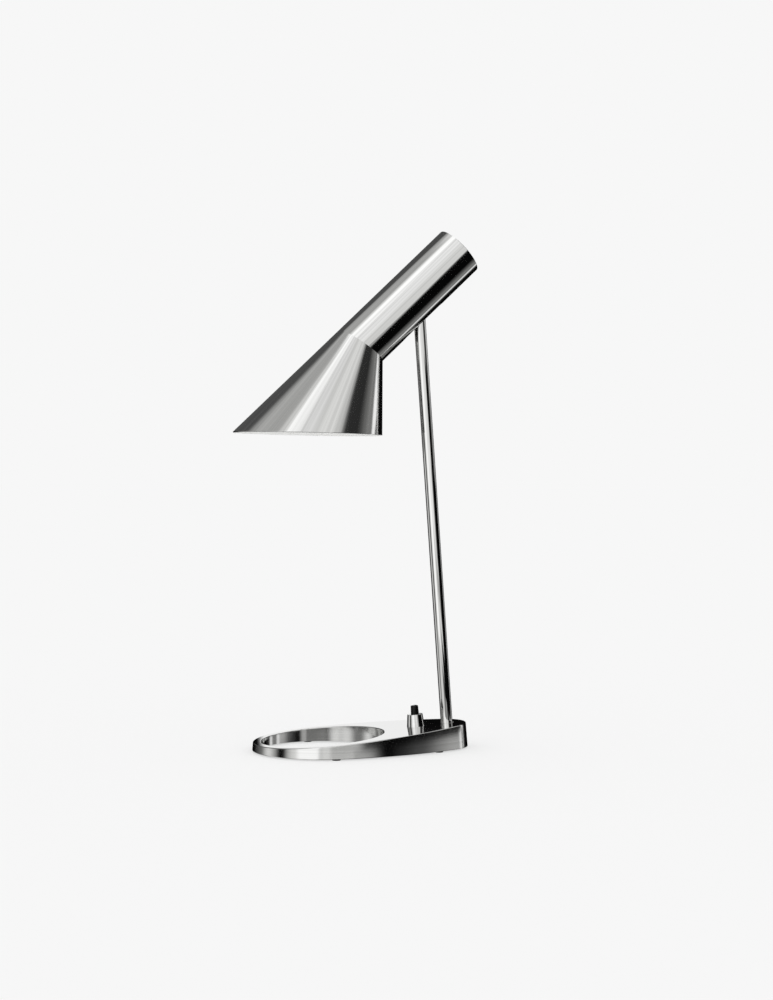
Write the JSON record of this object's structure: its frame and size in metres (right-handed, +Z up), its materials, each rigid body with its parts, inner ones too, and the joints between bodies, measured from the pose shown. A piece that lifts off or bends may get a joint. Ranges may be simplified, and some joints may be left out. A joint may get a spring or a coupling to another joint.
{
  "type": "task table lamp",
  "caption": "Task table lamp with a holed wedge base, a slim leaning stem, a push button and a tilting tube-and-cone head.",
  "frame": {"origin": "on the table, midway between the cone's tip and the tube's far corner, on the plane of symmetry", "axes": "+Z up, -X the way the lit cone points, Y across the lamp, its plane of symmetry at Y = 0"},
  "size_m": [0.2076, 0.122, 0.4343],
  "materials": {
    "base_steel": "top polished to a mirror, walls brushed along the outline",
    "cover_sheet": "satin grey coating",
    "steel_fastener": "bright zinc plating",
    "pad_rubber": "matt black",
    "bush_plastic": "matt black",
    "block_plastic": "pale insulating plastic",
    "contact_brass": "bare brass",
    "switch_plastic": "matt black insulating plastic",
    "collar_steel": "turned and polished",
    "spring_steel": "bare spring wire",
    "button_plastic": "black, semi-gloss",
    "stem_steel": "polished",
    "knuckle_steel": "turned",
    "lead_sheath": "pale wire sheath",
    "shade_steel": "outside brushed, inside of the cone white enamel",
    "cap_plastic": "matt black",
    "bracket_steel": "plain sheet",
    "friction_fibre": "brown pressed fibre",
    "holder_plastic": "matt black heat-resistant plastic",
    "bulb_cap_metal": "nickel-plated",
    "bulb_glass": "white frosted glass"
  },
  "bodies": {
    "stand": {"base_casting": "base_steel", "bottom_cover": "cover_sheet", "cover_screws": "steel_fastener", "foot_pad_front_near": "pad_rubber", "foot_pad_front_far": "pad_rubber", "foot_pad_rear_near": "pad_rubber", "foot_pad_rear_far": "pad_rubber", "inlet_bush": "bush_plastic", "terminal_block": "block_plastic", "terminal_screws": "contact_brass", "switch_body": "switch_plastic", "switch_washer": "steel_fastener", "switch_collar": "collar_steel", "switch_spring": "spring_steel", "switch_terminals": "contact_brass", "stem_tube": "stem_steel", "stem_nipple": "contact_brass", "stem_washer": "steel_fastener", "stem_nut": "steel_fastener", "stem_knuckle": "knuckle_steel", "stem_lead": "lead_sheath"},
    "button": {"switch_button": "button_plastic"},
    "head": {"shade_tube": "shade_steel", "shade_cone": "shade_steel", "tube_end_cap": "cap_plastic", "pivot_bracket": "bracket_steel", "pivot_pin": "steel_fastener", "friction_washers": "friction_fibre", "pivot_spring_washer": "spring_steel", "pivot_nut": "steel_fastener", "holder_nipple": "contact_brass", "holder_nut": "steel_fastener", "holder_cap": "holder_plastic", "holder_body": "holder_plastic", "holder_sleeve": "contact_brass", "holder_contact": "contact_brass", "bulb_cap": "bulb_cap_metal", "bulb_globe": "bulb_glass", "head_lead": "lead_sheath"}
  },
  "joints": [
    {"name": "shade_tilt", "type": "hinge", "parent": "stand", "child": "head", "pos_m": [0.05269, 0, 0.38415], "axis": [0, 1, 0], "range_deg": [-15, 45]},
    {"name": "switch_push", "type": "slide", "parent": "stand", "child": "button", "axis": [0.0755, 0, -0.9971], "range_m": [0, 0.0025], "stiffness_N_per_m": 400, "springref_m": -0.002, "deforming": ["switch_spring"]}
  ]
}
